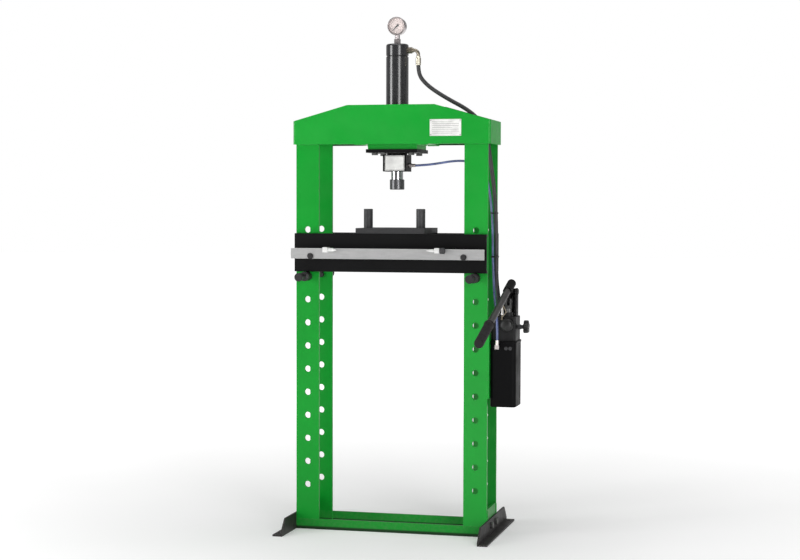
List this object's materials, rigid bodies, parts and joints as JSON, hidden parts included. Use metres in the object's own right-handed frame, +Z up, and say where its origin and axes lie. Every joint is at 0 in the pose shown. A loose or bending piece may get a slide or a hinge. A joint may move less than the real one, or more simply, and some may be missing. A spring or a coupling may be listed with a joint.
{
  "type": "hydraulic shop press",
  "caption": "Free-standing H-frame hydraulic shop press: drilled uprights, height-adjustable bed on support pins, straightening centres, ram with gauge and a side hand pump.",
  "frame": {"origin": "on the floor under the ram's axis, midway between front and rear uprights; centre of the four floor anchor holes", "axes": "+X to the operator's right, +Y to the back, +Z up along the ram's axis"},
  "size_m": [0.8365, 0.8029, 1.763],
  "materials": {
    "frame_green": "semi-gloss enamel",
    "bed_black": "satin black paint",
    "cylinder_black": "gloss black enamel",
    "pump_black": "satin black paint",
    "chrome_rod": "hard chrome, polished",
    "rail_steel": "ground flat bar",
    "bright_steel": "turned",
    "dark_steel": "blackened, oiled",
    "bolt_zinc": "zinc plated",
    "lever_steel": "grey drawn tube",
    "gauge_metal": "satin steel case",
    "dial_white": "printed dial",
    "needle_black": "black",
    "gauge_glass": "clear",
    "brass": "dull brass",
    "hose_rubber": "black hydraulic hose",
    "hose_blue": "blue nylon tube",
    "tie_black": "black nylon",
    "label_white": "white printed plate",
    "grip_rubber": "ribbed black rubber",
    "knob_black": "moulded"
  },
  "bodies": {
    "frame": {"front_left_upright": "frame_green", "front_right_upright": "frame_green", "rear_left_upright": "frame_green", "rear_right_upright": "frame_green", "front_base_bar": "frame_green", "rear_base_bar": "frame_green", "left_foot": "bed_black", "right_foot": "bed_black", "left_side_plate": "frame_green", "right_side_plate": "frame_green", "foot_bolts": "bolt_zinc", "crown_front": "frame_green", "crown_rear": "frame_green", "crown_base_plate": "frame_green", "mounting_pad": "frame_green", "cylinder_flange": "bed_black", "flange_bolts": "bolt_zinc", "cylinder_barrel": "cylinder_black", "cylinder_cap": "cylinder_black", "head_block": "bed_black", "gauge_case": "gauge_metal", "gauge_dial": "dial_white", "gauge_lens": "gauge_glass", "cylinder_elbow": "brass", "hose_ferrules": "brass", "pressure_hose": "hose_rubber", "return_hose": "hose_blue", "return_fittings": "brass", "hose_ties": "tie_black", "rating_plate": "label_white", "head_label": "label_white", "pump_mount": "frame_green", "pump_tank": "pump_black", "pump_body": "pump_black", "lever_pivot_pin": "bright_steel", "lever_clip": "brass"},
    "ram": {"ram_rod": "chrome_rod", "ram_nose": "dark_steel", "piston": "bright_steel"},
    "pointer": {"gauge_needle": "needle_black"},
    "bed": {"bed_front_beam": "bed_black", "bed_rear_beam": "bed_black", "bed_ties": "bed_black", "centre_rail": "rail_steel", "rail_bolts": "dark_steel"},
    "left_centre_block": {"left_centre": "bright_steel"},
    "right_centre_block": {"right_centre": "bright_steel"},
    "spindle": {"centre_spindle": "bright_steel"},
    "front_left_support": {"front_left_pin": "dark_steel"},
    "front_right_support": {"front_right_pin": "dark_steel"},
    "rear_left_support": {"rear_left_pin": "dark_steel"},
    "rear_right_support": {"rear_right_pin": "dark_steel"},
    "plate": {"press_plate": "dark_steel", "plate_posts": "dark_steel"},
    "lever": {"pump_lever": "lever_steel", "lever_socket": "pump_black", "lever_grip": "grip_rubber"},
    "pump_plunger": {"plunger": "bright_steel"},
    "release_valve": {"release_knob": "knob_black"},
    "selector": {"selector_knob": "knob_black"}
  },
  "joints": [
    {"name": "ram_slide", "type": "slide", "parent": "frame", "child": "ram", "axis": [0, 0, -1], "range_m": [0, 0.15], "stiffness_N_per_m": 400, "springref_m": -0.2},
    {"name": "gauge_pointer", "type": "hinge", "parent": "frame", "child": "pointer", "pos_m": [0, -0.01, 1.7315], "axis": [0, 1, 0], "range_deg": [0, 270], "stiffness_Nm_per_rad": 0.0005, "springref_deg": -28.65},
    {"name": "bed_lift", "type": "slide", "parent": "frame", "child": "bed", "axis": [0, 0, 1], "range_m": [0, 0.16]},
    {"name": "left_centre_slide", "type": "slide", "parent": "bed", "child": "left_centre_block", "axis": [1, 0, 0], "range_m": [-0.11, 0.15]},
    {"name": "right_centre_slide", "type": "slide", "parent": "bed", "child": "right_centre_block", "axis": [1, 0, 0], "range_m": [-0.12, 0.1]},
    {"name": "spindle_slide", "type": "slide", "parent": "right_centre_block", "child": "spindle", "axis": [1, 0, 0], "range_m": [0, 0.015]},
    {"name": "front_left_pin_pull", "type": "slide", "parent": "frame", "child": "front_left_support", "axis": [0, -1, 0], "range_m": [0, 0.03]},
    {"name": "front_right_pin_pull", "type": "slide", "parent": "frame", "child": "front_right_support", "axis": [0, -1, 0], "range_m": [0, 0.03]},
    {"name": "rear_left_pin_pull", "type": "slide", "parent": "frame", "child": "rear_left_support", "axis": [0, 1, 0], "range_m": [0, 0.03]},
    {"name": "rear_right_pin_pull", "type": "slide", "parent": "frame", "child": "rear_right_support", "axis": [0, 1, 0], "range_m": [0, 0.03]},
    {"name": "plate_lift", "type": "slide", "parent": "bed", "child": "plate", "axis": [0, 0, 1], "range_m": [0, 0.025]},
    {"name": "lever_hinge", "type": "hinge", "parent": "frame", "child": "lever", "pos_m": [0.4, -0.004, 0.828], "axis": [-1, 0, 0], "range_deg": [0, 40]},
    {"name": "plunger_slide", "type": "slide", "parent": "frame", "child": "pump_plunger", "axis": [0, 0, 1], "range_m": [0, 0.0246]},
    {"name": "release_turn", "type": "hinge", "parent": "frame", "child": "release_valve", "pos_m": [0.45, -0.03, 0.709], "axis": [1, 0, 0], "range_deg": [0, 180]},
    {"name": "selector_turn", "type": "hinge", "parent": "frame", "child": "selector", "pos_m": [0.4, -0.08, 0.719], "axis": [0, -1, 0], "range_deg": [0, 90]}
  ],
  "couplings": [
    {"joint": "plunger_slide", "follows": "lever_hinge", "m_per_rad": 0.0349}
  ]
}
